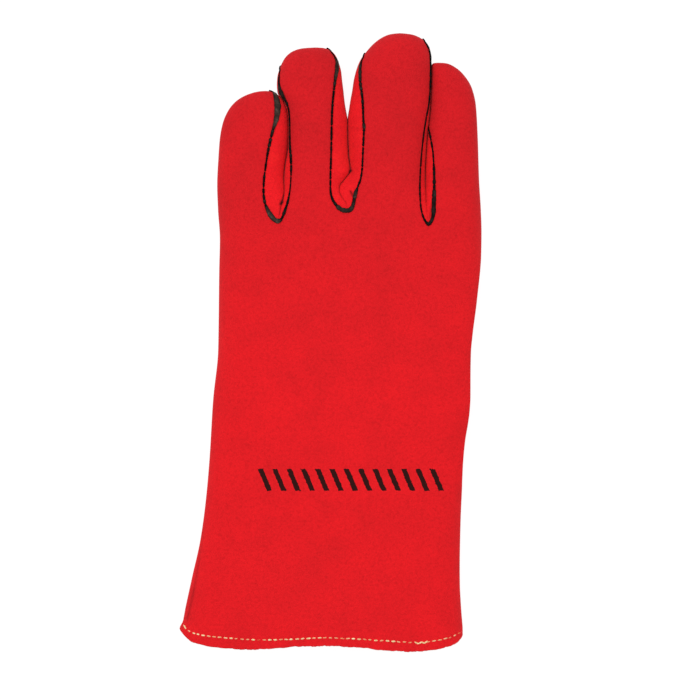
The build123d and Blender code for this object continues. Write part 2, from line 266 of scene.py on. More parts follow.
# ======== fingers
class Finger:
    """A column of the glove: a finger, and the strip of hand and cuff under it. It has seams and gaps on its
    left and right side, a crest (height of its back, by y), and a bend (y of its middle joint)."""

    def __init__(self, name, left, right, seams, gaps, crest, bend):
        self.name, self.left, self.right, self.seams = name, left, right, seams
        self.gaps, self.crest, self.bend, self.tip = gaps, crest, bend, right.high

    def middle(self, y):
        return (self.left(y) + self.right(y)) / 2

    def half(self, y):
        return np.maximum((self.right(y) - self.left(y)) / 2, 1e-4)

    def edge(self, side, y):
        """The x of the back panel's edge: the seam, or the outline where there is none."""
        outline = (self.left, self.right)[side](y)
        seam = self.seams[side]
        if seam is None:
            return outline
        inside = np.clip(seam(y), self.left(y), self.right(y))
        ending = smooth(seam.high - 2.5, seam.high, y)
        inside = inside * (1 - ending) + outline * ending
        return np.where(y < seam.low, outline, inside)


FINGERS = [
    Finger("little", LEFT, LITTLE_RIGHT, (None, SEAM_1L), (None, 0), LITTLE_CREST, 108),
    Finger("ring", RING_LEFT, RING_RIGHT, (SEAM_1R, SEAM_2L), (0, 1), RING_CREST, 119),
    Finger("middle", MIDDLE_LEFT, MIDDLE_RIGHT, (SEAM_2R, SEAM_3L), (1, 2), MIDDLE_CREST, 123),
    Finger("index", INDEX_LEFT, RIGHT, (SEAM_3R, None), (2, None), INDEX_CREST, 115),
]

TIP_REACH, TIP_POWER = 20.0, 2.2  # where a finger starts to close, and how blunt its tip is
BACK_POWER = 2.3  # roundness of a finger's back: 2 is an ellipse, and more is boxier
BACK_ROLL, PALM_ROLL, FINGER_ROLL = 17.0, 11.0, 9.0  # how far in from their sides the skins are rounded
SIDE_PARTING = (58, 98)  # rows between which the hand's outer sides become a finger's
GAP_PARTING = (-1, 36)  # the same beside a gap, from its crotch


def closing(finger, y, inset=0.0):
    """How much of its height a finger has left at y: full, until it rounds off at the tip."""
    t = np.clip((y - (finger.tip - TIP_REACH)) / (TIP_REACH - inset), 0, 1)
    return (1 - t**TIP_POWER) ** (1 / TIP_POWER)


def parting(finger, y, t):
    """0 where the skin is the hand's, 1 where it is the finger's own, and both near the knuckles."""
    total = 0
    for gap, weight in zip(finger.gaps, ((1 - t) / 2, (1 + t) / 2)):
        if gap is None:
            value = smooth(*SIDE_PARTING, y)
        else:
            crotch = CROTCHES[gap][1]
            value = smooth(crotch + GAP_PARTING[0], crotch + GAP_PARTING[1], y)
        total = total + np.clip(weight, 0, 1) * value
    return total


def hand_sides(y, inset=0.0):
    """The hand's own outline, which goes straight up past the crotches."""
    low = np.minimum(y, OUTLINE_TOP)
    return LEFT(low) + inset, RIGHT(low) - inset


def seam_height(x, y):
    """Height of the side seams, carried across the hand, and of the fingers' own side lines."""
    left, right = hand_sides(y)
    t = np.clip((x - left) / (right - left), 0, 1)
    return SIDE_SEAM_LEFT(y) * (1 - t) + SIDE_SEAM_RIGHT(y) * t


def dimple(x, y):
    """The soft hollow that runs into the hand from each gap between fingers."""
    deep, wide, long = 1.3, 9, 15
    total = 0
    for x_at, y_at in CROTCHES:
        total = total + deep * np.exp(-(((x - x_at) / wide) ** 2) - ((y - y_at) / long) ** 2)
    return total


RELIEF_LEVEL = 10  # where the noise field is cut for the back's relief; the palm's cut is at its opposite


def relief(x, y, level):
    """Small unevenness of soft leather, as waves of 34 and 11 mm."""
    out = []
    for point in zip(np.ravel(x), np.ravel(y)):
        place = Vector((*point, level))
        out.append(0.42 * noise.noise(place / 34) + 0.16 * noise.noise(place / 11))
    return np.reshape(out, np.shape(x))


def top(finger, x, y, inset=0.0):
    """Height of the back's skin."""
    half = np.maximum(finger.half(y) - inset, 1e-4)
    t = np.clip((x - finger.middle(y)) / half, -1, 1)
    base = seam_height(x, y)
    arch = (1 - np.abs(t) ** BACK_POWER) ** (1 / BACK_POWER)
    own = base + (finger.crest(y) - inset - base) * closing(finger, y, inset) * arch
    left, right = hand_sides(y, inset)
    side = np.clip(np.minimum(x - left, right - x) / BACK_ROLL, 0, 1)
    span = (2 * x - left - right) / (right - left)
    rolled = np.sqrt(1 - (1 - side) ** 2)
    hand = base + (HAND_CREST(y) - dimple(x, y) - inset - base) * rolled * (0.9 + 0.1 * (1 - span**2))
    share = parting(finger, y, t)
    return hand * (1 - share) + own * share


def bottom(finger, x, y, inset=0.0):
    """Height of the palm's skin, flat where it lies on the table."""
    half = np.maximum(finger.half(y) - inset, 1e-4)
    t = np.clip((x - finger.middle(y)) / half, -1, 1)
    base = seam_height(x, y)
    roof = tuck(x, y) + inset
    room = np.clip((1 - np.abs(t)) * half / np.minimum(0.62 * half, FINGER_ROLL), 0, 1)
    own = base - (base - roof) * closing(finger, y, inset) * np.sqrt(1 - (1 - room) ** 2)
    left, right = hand_sides(y, inset)
    side = np.clip(np.minimum(x - left, right - x) / PALM_ROLL, 0, 1)
    hand = base - (base - roof) * np.sqrt(1 - (1 - side) ** 2)
    share = parting(finger, y, t)
    return hand * (1 - share) + own * share


# ======== hem
# these two lines run across the glove, so their points are (y, x), and they give y for an x
HEM_LINE = Line(
    (-163.5, -87.4), (-166, -86), (-168.2, -83.8), (-171, -80.4), (-173.4, -72.8), (-174.8, -62),
    (-175.7, -50), (-175.6, -40), (-174.1, -21), (-173.7, 0), (-174.7, 17), (-176.5, 35), (-176.9, 46),
    (-176.5, 55),
    (-174.4, 66.5), (-172.7, 71.8), (-170.5, 74.9), (-167.2, 76.6),
)
STITCH_LINE = Line(
    (-160.8, -85.4), (-165, -82.5), (-166.9, -78), (-168, -72.5), (-169.2, -62), (-170, -52), (-170.5, -42),
    (-170.1, -22), (-169.3, -4), (-169.6, 8.7), (-170.7, 26), (-171.8, 43), (-172.3, 51), (-171.3, 58),
    (-169.2, 69), (-166.9, 74),
)


def hem_y(x):
    """The hem's own line, with the ripple of a cut edge."""
    ripple = 0.22 * np.sin(x / 1.9) * np.sin(x / 5.3)
    nicks = 0.2 * np.sin(x * 2.3) * np.sin(x / 1.3 + 1)
    return HEM_LINE(x) + ripple + nicks


def hem_shift(x, row):
    """How far a point near the hem moves so that the last row lies on the hem's line. It fades over 30 mm."""
    return (hem_y(x) - HEM) * np.clip(1 - (row - HEM) / 30, 0, 1) ** 1.5


# ======== patches
def rows_between(low, high, step, marks=(), tip=None):
    """Rows of y, closer together above each mark and over the last 9 mm towards a tip."""
    count = max(2, int(round((high - low) / step)) + 1)
    rows = list(np.linspace(low, high, count))
    for mark in marks:
        rows += [mark + d for d in (0, 0.04, 0.15, 0.35, 0.6, 0.95, 1.35, 1.9, 2.5) if low < mark + d < high]
    if tip is not None:
        rows = [r for r in rows if r < tip - 9]
        rows += [tip - 9 * (1 - s) ** 2 for s in np.linspace(0, 1, 15)]
    return np.unique(np.round(rows, 4))


def shade(finger, x, y, t, half):
    """How much painted shade darkens the suede, from 0 to 1: a shadow line where fingers touch, and shade in
    creases.
    """
    total = np.zeros(np.shape(x))
    for gap, sign in zip(finger.gaps, (-1, 1)):
        if gap is not None:
            crotch = CROTCHES[gap][1]
            touching = np.exp(-(((1 - sign * t) * half / 0.5) ** 2))
            total = total + GAP_SHADE[gap] * smooth(crotch - 1, crotch + 4, y) * touching
    crease = np.zeros(np.shape(x))
    for (x_a, y_a), (x_b, y_b), wide, dark in CREASES:
        along = ((x - x_a) * (x_b - x_a) + (y - y_a) * (y_b - y_a)) / ((x_b - x_a) ** 2 + (y_b - y_a) ** 2)
        along = np.clip(along, 0, 1)
        away = np.hypot(x - x_a - along * (x_b - x_a), y - y_a - along * (y_b - y_a))
        crease = np.maximum(crease, dark * np.exp(-((away / wide) ** 2)))
    return np.clip(total + crease, 0, 1)


def draw_in(finger, x, y, z, t):
    """Draws the leather in by about 1 mm along the seams on the outline, at the sides and the fingertips."""
    near = 1.1 * np.exp(-(((z - seam_height(x, y)) / 1.2) ** 2))
    outer = [float(seam is None) for seam in finger.seams]
    pull = np.where(t < 0, *outer) * np.sign(t) * smooth(0.5, 1, np.abs(t))
    piped_to = [-1e3 if seam is None else seam.high for seam in finger.seams]
    bare = np.where(t < 0, *(smooth(high - 1, high + 0.5, y) for high in piped_to))
    return x - near * pull, y - near * smooth(finger.tip - 7, finger.tip, y) * bare


def skin(finger, rows, x_from, x_to, columns, height, inset=0.0, sides=(1, 1)):
    """Points of a patch and their shade, one row per y, from x_from(y) to x_to(y), closer together towards
    the finger's sides. A patch under the leather is inset from it, on the sides that are marked 1."""
    spread = 1.15  # evens out the columns, which a plain cosine would crowd at the sides
    left = finger.left(rows) + inset * sides[0]
    right = finger.right(rows) - inset * sides[1]
    middle, half = ((left + right) / 2)[:, None], np.maximum((right - left) / 2, 1e-4)[:, None]
    angles = []
    for x in (x_from(rows), x_to(rows)):
        t = np.clip((x[:, None] - middle) / half, -1, 1)
        angles.append(np.arccos(np.sign(t) * np.abs(t) ** spread))
    c = np.cos(angles[0] + (angles[1] - angles[0]) * np.linspace(0, 1, columns + 1))
    t = np.sign(c) * np.abs(c) ** (1 / spread)
    x = middle + half * t
    y = np.repeat(rows[:, None], columns + 1, axis=1)
    z = height(finger, x, y, inset)
    to_side = 1 - np.abs(t)
    if height is top:
        # painted shade on the back: a shadow line where fingers touch, and shade in creases
        tone = shade(finger, x, y, t, half)
        z = z + relief(x, y, RELIEF_LEVEL) * np.clip(to_side * 5, 0, 1)
    else:
        tone = np.zeros(np.shape(x))
        z = z + relief(x, y, -RELIEF_LEVEL) * np.clip(to_side * 5, 0, 1) * 0.6
    if inset == 0:
        if height is bottom:
            groove = 0.7 * np.exp(-(((y - CUFF_SEAM) / 0.9) ** 2))
            z = np.maximum(z + groove * np.clip(to_side * 6, 0, 1), 0)
        x, y = draw_in(finger, x, y, z, t)
    return np.stack([x, y + hem_shift(x, y), z, tone], axis=-1)


def quads(shape, start, flip):
    """Faces over a grid of points that are numbered from start."""
    grid = np.arange(shape[0] * shape[1]).reshape(shape) + start
    a, b, d, e = grid[:-1, :-1], grid[:-1, 1:], grid[1:, 1:], grid[1:, :-1]
    order = (a, e, d, b) if flip else (a, b, d, e)
    return np.stack(order, axis=-1).reshape(-1, 4)


def add_object(name, data):
    obj = bpy.data.objects.new(name, data)
    bpy.context.scene.collection.objects.link(obj)
    return obj


def make_object(name, patches, material, flips, weld=0.02):
    """One mesh from patches of points, in millimetres, welded where they meet. Points may carry a tone."""
    points, faces, start = [], [], 0
    for p, flip in zip(patches, flips):
        faces.append(quads(p.shape[:2], start, flip))
        flat = p.reshape(-1, p.shape[-1])
        points.append(np.pad(flat, ((0, 0), (0, 4 - flat.shape[1]))))
        start += len(flat)
    points, faces = np.vstack(points), np.vstack(faces)
    keys = np.round(points[:, :3] / weld).astype(np.int64)
    index = np.unique(keys, axis=0, return_inverse=True)[1].ravel()
    merged = np.stack([np.bincount(index, weights=points[:, k]) for k in range(4)], axis=-1)
    merged /= np.bincount(index)[:, None]
    corners = [list(dict.fromkeys(face.tolist())) for face in index[faces]]
    clean = [once for once in corners if len(once) > 2]
    mesh = bpy.data.meshes.new(name)
    mesh.from_pydata((merged[:, :3] * MM).tolist(), [], clean)
    rest = mesh.attributes.new("rest", "FLOAT_VECTOR", "POINT")
    rest.data.foreach_set("vector", (merged[:, :3] * MM).astype(np.float32).ravel())
    tone = mesh.attributes.new("tone", "FLOAT", "POINT")
    tone.data.foreach_set("value", merged[:, 3].astype(np.float32))
    mesh.validate()
    mesh.shade_smooth()
    mesh.materials.append(material)
    obj = add_object(name, mesh)
    return obj


# ======== materials
class Material:
    """A material with one principled shader, and short ways to make the nodes that feed it."""

    def __init__(self, name, colour, rough, sheen=0.0, specular=0.2):
        self.data = bpy.data.materials.new(name)
        self.data.use_nodes = True
        self.nodes, self.links = self.data.node_tree.nodes, self.data.node_tree.links
        self.inputs = self.nodes["Principled BSDF"].inputs
        self.feed(self.inputs["Base Color"], colour)
        self.feed(self.inputs["Roughness"], rough)
        self.feed(self.inputs["Specular IOR Level"], specular)
        self.feed(self.inputs["Sheen Weight"], sheen)
        self.feed(self.inputs["Sheen Roughness"], 0.45)

    def feed(self, socket, value):
        """Sets a socket to a number or a colour, or links another socket into it."""
        if isinstance(value, (int, float)):
            socket.default_value = value
        elif isinstance(value, tuple):
            socket.default_value = (*value, 1)
        else:
            self.links.new(value, socket)

    def node(self, kind, inputs):
        n = self.nodes.new(kind)
        for name, value in inputs.items():
            self.feed(n.inputs[name], value)
        return n

    def carried(self, name, output):
        """A value that the mesh carries, so that it stays with the material while a piece bends."""
        at = self.nodes.new("ShaderNodeAttribute")
        at.attribute_name = name
        return at.outputs[output]

    def noise(self, place, scale, detail=4.0, rough=0.6):
        inputs = {"Scale": scale, "Detail": detail, "Roughness": rough, "Vector": place}
        return self.node("ShaderNodeTexNoise", inputs).outputs["Fac"]

    def split(self, place):
        return self.node("ShaderNodeSeparateXYZ", {"Vector": place}).outputs

    def ramp(self, fac, stops):
        """Colours between stops of (position, colour)."""
        r = self.node("ShaderNodeValToRGB", {"Fac": fac})
        first, last = r.color_ramp.elements
        first.position, first.color = stops[0][0], (*stops[0][1], 1)
        last.position, last.color = stops[-1][0], (*stops[-1][1], 1)
        for position, colour in stops[1:-1]:
            r.color_ramp.elements.new(position).color = (*colour, 1)
        return r.outputs["Color"]

    def rise(self, value, low, high):
        """0 below low, 1 above high, smooth between them."""
        n = self.node("ShaderNodeMapRange", {"From Min": low, "From Max": high, "Value": value})
        n.interpolation_type = "SMOOTHSTEP"
        return n.outputs["Result"]

    def mix(self, kind, fac, a, b):
        n = self.nodes.new("ShaderNodeMix")
        n.data_type, n.blend_type = "RGBA", kind
        for socket, value in ((0, fac), (6, a), (7, b)):
            self.feed(n.inputs[socket], value)
        return n.outputs[2]

    def calc(self, operation, *values):
        """A math node on numbers and sockets."""
        n = self.nodes.new("ShaderNodeMath")
        n.operation = operation
        for socket, value in zip(n.inputs, values):
            self.feed(socket, value)
        return n.outputs[0]

    def finish(self, colour, *bumps):
        """Feeds the shader a colour and a stack of bumps, each of (height, distance in metres, strength)."""
        self.feed(self.inputs["Base Color"], colour)
        normal = None
        for height, distance, strength in bumps:
            n = self.node("ShaderNodeBump", {"Distance": distance, "Strength": strength, "Height": height})
            if normal is not None:
                self.feed(n.inputs["Normal"], normal)
            normal = n.outputs["Normal"]
        self.feed(self.inputs["Normal"], normal)
        return self.data


def srgb(r, g, b):
    return tuple(((v / 255 + 0.055) / 1.055) ** 2.4 if v > 10 else v / 255 / 12.92 for v in (r, g, b))


def printed_bars(m, place, ragged):
    """Mask of a row of plain slanted bars, printed across the cuff. Sizes are in metres."""
    pitch, wide, tall, middle, first, count = 0.0082, 0.0031, 0.0125, -0.0788, -0.0375, 13
    slant = 0.42
    x, y, _ = m.split(place)
    rough = m.calc("MULTIPLY_ADD", ragged, 0.0016, -0.0008)
    lean = m.calc("MULTIPLY_ADD", y, slant, x)
    run = m.calc("ADD", lean, slant * -middle - first + pitch / 2)
    step = m.calc("FRACT", m.calc("DIVIDE", run, pitch))
    off_bar = m.calc("ABSOLUTE", m.calc("MULTIPLY_ADD", step, pitch, -pitch / 2))
    off_row = m.calc("ABSOLUTE", m.calc("SUBTRACT", y, middle))
    off_end = m.calc("ABSOLUTE", m.calc("SUBTRACT", run, pitch * count / 2))
    mask = None
    for distance, limit in ((off_bar, wide / 2), (off_row, tall / 2), (off_end, pitch * count / 2)):
        inside = m.calc("LESS_THAN", m.calc("ADD", distance, rough), limit)
        mask = inside if mask is None else m.calc("MULTIPLY", mask, inside)
    return mask


def suede(name, base, dark, light, printed=False, fade=1.0):
    """Split leather: a short nap with a fine grain, cloudy tone, and a deeper red towards the fingertips."""
    m = Material(name, base, 0.95, sheen=0.04, specular=0.1)
    place = m.carried("rest", "Vector")
    nap = m.noise(place, 1900, 2, 0.6)
    grain = m.noise(place, 620, 4, 0.65)
    cloud = m.noise(place, 45, 5, 0.62)
    colour = m.ramp(cloud, [(0.3, dark), (0.52, base), (0.75, light)])
    speck = m.ramp(grain, [(0.3, (0.78, 0.76, 0.76)), (0.52, (1, 1, 1)), (0.8, (1.1, 1.1, 1.1))])
    colour = m.mix("MULTIPLY", 0.7, colour, speck)
    fleck = m.ramp(nap, [(0.3, (0.84, 0.82, 0.82)), (0.7, (1.1, 1.1, 1.1))])
    colour = m.mix("MULTIPLY", 0.7, colour, fleck)
    toward_tips = m.rise(m.split(place)["Y"], -0.06, 0.18)
    colour = m.mix("MULTIPLY", toward_tips, colour, (fade, 1, 1))
    if printed:
        ink = m.mix("MIX", nap, srgb(24, 12, 11), srgb(58, 20, 17))
        colour = m.mix("MIX", printed_bars(m, place, grain), colour, ink)
    # painted shade: the red darkens to maroon where the tone is high, where fingers touch and in creases
    colour = m.mix("MIX", m.carried("tone", "Fac"), colour, srgb(64, 8, 10))
    return m.finish(colour, (grain, 0.0004, 0.5), (nap, 0.00025, 0.55))


def piping_leather():
    """Black leather, rubbed to a brownish grey where it is wide, and paler still along its middle: a painted
    highlight.
    """
    m = Material("piping_leather", srgb(18, 14, 13), 0.6, specular=0.03)
    place = m.carried("rest", "Vector")
    grain = m.noise(place, 900)
    wear_and_highlight = m.noise(place, 300)
    black = m.ramp(wear_and_highlight, [(0.35, srgb(5, 4, 4)), (0.7, srgb(20, 15, 14))])
    # the grey is partly rubbing where the piping is wide, and partly a painted highlight along its middle
    grey_of_wear_and_highlight = m.ramp(wear_and_highlight, [(0.35, srgb(44, 36, 32)), (0.55, srgb(64, 54, 47)), (0.72, srgb(104, 94, 86))])
    colour = m.mix("MIX", m.carried("tone", "Fac"), black, grey_of_wear_and_highlight)
    return m.finish(colour, (grain, 0.0003, 0.6))


def woven(name, colour, dark, pitch, fuzz):
    """A cloth whose threads cross at a pitch in metres, with a soft surface where fuzz is high."""
    m = Material(name, colour, 0.95, sheen=0.3, specular=0.1)
    place = m.carried("rest", "Vector")
    waves = []
    for direction in ("X", "Y"):
        inputs = {"Scale": 0.314 / pitch, "Distortion": 0.6, "Detail": 1.0, "Vector": place}
        w = m.node("ShaderNodeTexWave", inputs)
        w.bands_direction = direction
        waves.append(w.outputs["Fac"])
    cross = m.mix("MULTIPLY", 1.0, *waves)
    tuft = m.noise(place, 700, 4, 0.7)
    tone = m.ramp(tuft, [(0.3, dark), (0.7, colour)])
    tone = m.mix("MULTIPLY", 0.35 * (1 - fuzz), tone, cross)
    return m.finish(tone, (cross, 0.0003, 0.7 * (1 - fuzz) + 0.05), (tuft, 0.0008, 0.7 * fuzz + 0.1))


def sewing_thread():
    """Cream thread. The stitches that the leather has half swallowed look orange."""
    m = Material("thread", srgb(238, 214, 160), 0.7, sheen=0.2, specular=0.2)
    strands = m.noise(m.carried("rest", "Vector"), 900, 2, 0.5)
    cream = m.ramp(strands, [(0.3, srgb(216, 168, 106)), (0.65, srgb(248, 230, 184))])
    colour = m.mix("MIX", m.carried("tone", "Fac"), cream, srgb(222, 88, 48))
    return m.finish(colour, (strands, 0.0002, 0.5))


def label_tape():
    m = Material("label_tape", srgb(240, 238, 232), 0.7, sheen=0.2, specular=0.25)
    place = m.nodes.new("ShaderNodeTexCoord").outputs["Object"]
    weave = m.node("ShaderNodeTexWave", {"Scale": 900, "Vector": place}).outputs["Fac"]
    tone = m.ramp(m.noise(place, 400), [(0.3, srgb(226, 223, 214)), (0.7, srgb(246, 245, 240))])
    return m.finish(tone, (weave, 0.0002, 0.5))


REDS = (srgb(219, 25, 32), srgb(210, 25, 31), srgb(225, 26, 32))
# a lighter copy of the red suede for the fourchettes: painted light, for the light that the side strips catch
REDS_WITH_PAINTED_LIGHT = (srgb(228, 26, 33), srgb(220, 25, 32), srgb(236, 34, 35))
RED = suede("red_suede", *REDS, fade=0.8)
RED_PRINTED = suede("red_suede_printed", *REDS, printed=True, fade=0.8)
RED_WITH_PAINTED_LIGHT = suede("red_suede_bright", *REDS_WITH_PAINTED_LIGHT)
BLACK = piping_leather()
FLEECE = woven("fleece", srgb(238, 232, 216), srgb(208, 198, 176), 0.0012, 0.9)
CANVAS = woven("canvas", srgb(246, 236, 212), srgb(220, 206, 176), 0.0009, 0.15)
THREAD = sewing_thread()
RAW_EDGE = suede("raw_edge", srgb(214, 44, 40), srgb(186, 30, 32), srgb(228, 84, 66))


# ======== hand, cuff and fingers
def panel_edge(finger, side):
    return lambda y: finger.edge(side, y)


def outline(finger, side, inset=0.0):
    line = (finger.left, finger.right)[side]
    return lambda y: line(y) + (inset, -inset)[side]


def panel(finger, rows, columns, height):
    """The back or the palm of one column, from edge to edge."""
    return skin(finger, rows, panel_edge(finger, 0), panel_edge(finger, 1), columns, height)


def finger_rows(finger):
    """Rows of a finger's root pieces and of the pieces beyond them."""
    root = rows_between(HAND_TOP, ROOT_TOP, 1.2)
    end = rows_between(ROOT_TOP, finger.tip, 1.2, tip=finger.tip)
    return root, end


def bend_root(obj, finger):
    """Bakes a root piece's transform into its mesh."""
    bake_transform(obj)


def bend_end(obj, finger):
    """Bakes the transform of a piece beyond the root into its mesh."""
    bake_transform(obj)


BACK_COLUMNS, PALM_COLUMNS = 48, 30  # columns of faces over each finger's share of the hand


def make_hand():
    rows = rows_between(HEM, HAND_TOP, 1.5, marks=[y for _, y in CROTCHES])
    beside_seam = CUFF_SEAM + np.array([-2.2, -1.4, -0.8, -0.4, 0, 0.4, 0.8, 1.4, 2.2])
    rows = np.unique(np.concatenate([rows, beside_seam]))
    back = [panel(f, rows, BACK_COLUMNS, top) for f in FINGERS]
    obj = make_object("hand_back", back, RED_PRINTED, flips=[False] * 4)
    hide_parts("back_panel")
    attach(obj, "hand")

    palm = [panel(f, rows[rows >= CUFF_SEAM], PALM_COLUMNS, bottom) for f in FINGERS]
    obj = make_object("hand_palm", palm, RED, flips=[True] * 4)
    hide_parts("palm_panel")
    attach(obj, "hand")

    cuff = [panel(f, rows[rows <= CUFF_SEAM], PALM_COLUMNS, bottom) for f in FINGERS]
    obj = make_object("cuff_front", cuff, RED, flips=[True] * 4)
    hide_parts("cuff_front_panel")
    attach(obj, "hand")


def strip(finger, side, rows):
    """A fourchette's half on one finger, from its seam on the back over the side to its seam on the palm."""
    seam, side_line = panel_edge(finger, side), outline(finger, side)
    return [
        skin(finger, rows, seam, side_line, 16, top),
        skin(finger, rows, side_line, seam, 9, bottom),
    ]


def make_fourchettes():
    for gap, name in enumerate(("little_ring", "ring_middle", "middle_index")):
        crotch = CROTCHES[gap][1]
        rows = rows_between(crotch, HAND_TOP, 0.8, marks=[crotch])
        patches = strip(FINGERS[gap], 1, rows) + strip(FINGERS[gap + 1], 0, rows)
        flips = [True, True, False, False]
        obj = make_object(f"crotch_{name}", patches, RED_WITH_PAINTED_LIGHT, flips=flips)
        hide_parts(f"fourchette_crotch_{name}")
        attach(obj, "hand")


def make_finger_skins():
    for f in FINGERS:
        for part, rows, bend in zip(("base", "tip"), finger_rows(f), (bend_root, bend_end)):
            name = f"{f.name}_{part}"
            for kind, height, flip in (("back", top, False), ("palm", bottom, True)):
                patch = panel(f, rows, 34, height)
                obj = make_object(f"{name}_{kind}_skin", [patch], RED, flips=[flip])
                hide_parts(f"{name}_{kind}")
                bend(obj, f)
            patches, flips = [], []
            for side, seam in enumerate(f.seams):
                if seam is not None:
                    patches += strip(f, side, rows[rows <= seam.high])
                    flips += [side == 1] * 2
            obj = make_object(f"{name}_fourchette_skin", patches, RED_WITH_PAINTED_LIGHT, flips=flips)
            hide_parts(f"{name}_fourchettes")
            bend(obj, f)

            inner_rows = rows[rows < f.tip - 4]
            left, right = outline(f, 0, FINGER_LINING), outline(f, 1, FINGER_LINING)
            inner = [skin(f, inner_rows, left, right, 16, height, FINGER_LINING) for height in (top, bottom)]
            obj = make_object(f"{name}_fleece", inner, FLEECE, flips=[False, True])
            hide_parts(f"{name}_lining")
            bend(obj, f)


# ======== piping
def seam_path(finger, side, rows, height):
    """Points of a seam on the skin, and the skin's outward normals there."""
    x = finger.edge(side, rows)
    z = height(finger, x, rows)
    step = 0.25
    inward = -step if side else step
    over = 1 if height is top else -1
    slope = (height(finger, x + inward, rows) - z) / inward
    ahead = (height(finger, x, rows + step) - height(finger, x, rows - step)) / (2 * step)
    normal = np.stack([-slope, -ahead, np.ones_like(slope)], axis=-1) * over
    normal /= np.linalg.norm(normal, axis=1)[:, None]
    z = z + relief(x, rows, RELIEF_LEVEL * over) * 0.6
    return np.stack([x, rows, z], axis=-1), normal


def sweep(points, normal, width, thick, lift, sides=10):
    """A bead along a path, as rings of points across it. Its width lies across the normal and its thickness
    and lift along it. Width is an array, and thick and lift are arrays or numbers."""
    along = np.gradient(points, axis=0)
    along /= np.maximum(np.linalg.norm(along, axis=1), 1e-9)[:, None]
    across = np.cross(along, normal)
    across /= np.maximum(np.linalg.norm(across, axis=1), 1e-9)[:, None]
    up = np.cross(across, along)
    angle = np.linspace(0, 2 * math.pi, sides + 1)
    c, s = np.cos(angle), np.sin(angle)
    thick, lift = np.broadcast_to(thick, width.shape), np.broadcast_to(lift, width.shape)
    centre = points + up * lift[:, None]
    return (
        centre[:, None, :]
        + across[:, None, :] * (width[:, None] / 2 * c)[..., None]
        + up[:, None, :] * (thick[:, None] / 2 * s)[..., None]
    )


def arc_length(points):
    return np.concatenate([[0], np.cumsum(np.linalg.norm(np.diff(points, axis=0), axis=1))])


def piping_width(base, s, seed):
    """Piping's width along a seam: uneven, nipped by stitches, and in places closed over by the leather."""
    uneven = np.array([noise.noise(Vector((v / 1.7, seed * 3.1, 0.5))) for v in s])
    narrow = 1 + 0.42 * uneven * np.clip(2.2 / base - 0.4, 0.3, 1)
    picks = np.random.default_rng(int(seed * 10))
    place = 0.0
    while place < s[-1]:
        place += picks.uniform(1.5, 6)
        depth = 1.0 if picks.random() < 0.16 else picks.uniform(0.05, 0.5)
        narrow = narrow * (1 - depth * np.exp(-(((s - place) / 0.32) ** 2)) * np.clip(2.4 - base, 0, 1))
    return base * np.clip(1.1 * narrow, 0.06, 1.4)


def add_wear_and_highlight(ring, width, wear_and_highlight):
    """Adds a tone to a bead, for rubbing and a painted highlight: high along the middle of its wide
    stretches.
    """
    sides = ring.shape[1]
    across = np.abs(np.sin(np.linspace(0, 2 * math.pi, sides))) ** 1.5
    tone = (wear_and_highlight * smooth(1.4, 2.6, width))[:, None] * (0.35 + 0.65 * across)
    return np.concatenate([ring, tone[..., None]], axis=-1)


def seam_rows(seam):
    """Rows along a seam, closer together at its ends, where it turns across the rows."""
    body = np.arange(seam.low + 2.5, seam.high - 1.5, 0.3)
    start = seam.low + np.array([0.02, 0.06, 0.15, 0.3, 0.5, 0.75, 1.05, 1.4, 1.8, 2.2])
    end = seam.high - np.array([1.1, 0.75, 0.45, 0.22, 0.08, 0])
    return np.unique(np.concatenate([start, body, end, [HAND_TOP, ROOT_TOP]]))


PIPING_WIDTHS = ((WIDTH_1L, WIDTH_1R), (WIDTH_2L, WIDTH_2R), (WIDTH_3L, WIDTH_3R))
PIPING_WEAR_AND_HIGHLIGHT = ((1.0, 0.3), (0.9, 0.7), (0.5, 0.25))  # how grey the piping is from rubbing and a painted highlight, on each side of each gap
HIDDEN_PIPING = 1.5  # width of the piping on the palm and the thumb


def gap_beads(gap, height):
    """The piping round one gap as a single bead, from a fingertip down to the crotch and up to the next tip:
    the bead's rings, and each ring's y and finger."""
    a, b = FINGERS[gap], FINGERS[gap + 1]
    rows_a, rows_b = seam_rows(a.seams[1])[::-1], seam_rows(b.seams[0])
    points_a, normal_a = seam_path(a, 1, rows_a, height)
    points_b, normal_b = seam_path(b, 0, rows_b, height)
    points, normal = np.vstack([points_a, points_b]), np.vstack([normal_a, normal_b])
    s = arc_length(points)
    if height is top:
        width_a, width_b = PIPING_WIDTHS[gap]
        width = piping_width(np.concatenate([width_a(rows_a), width_b(rows_b)]), s, gap + 1.0)
        risen = smooth(0, 7, np.minimum(s, s[-1] - s))
        thick = (0.7 + 0.25 * np.minimum(width, 2.5)) * (0.3 + 0.7 * risen)
        wear_and_highlight_a, wear_and_highlight_b = PIPING_WEAR_AND_HIGHLIGHT[gap]
        wear_and_highlight = wear_and_highlight_a + (wear_and_highlight_b - wear_and_highlight_a) * smooth(-3, 3, s - s[len(rows_a)])
        # grey from rubbing, with a painted highlight along the bead's middle
        rings = add_wear_and_highlight(sweep(points, normal, width, thick, 0.1 * risen + 0.14 * thick), width, wear_and_highlight)
    else:
        width = piping_width(np.full(len(s), HIDDEN_PIPING), s, gap + 1.5)
        rings = sweep(points, normal, width, 1.0, 0.15)
    owner = np.repeat([gap, gap + 1], [len(rows_a), len(rows_b)])
    return rings, np.concatenate([rows_a, rows_b]), owner


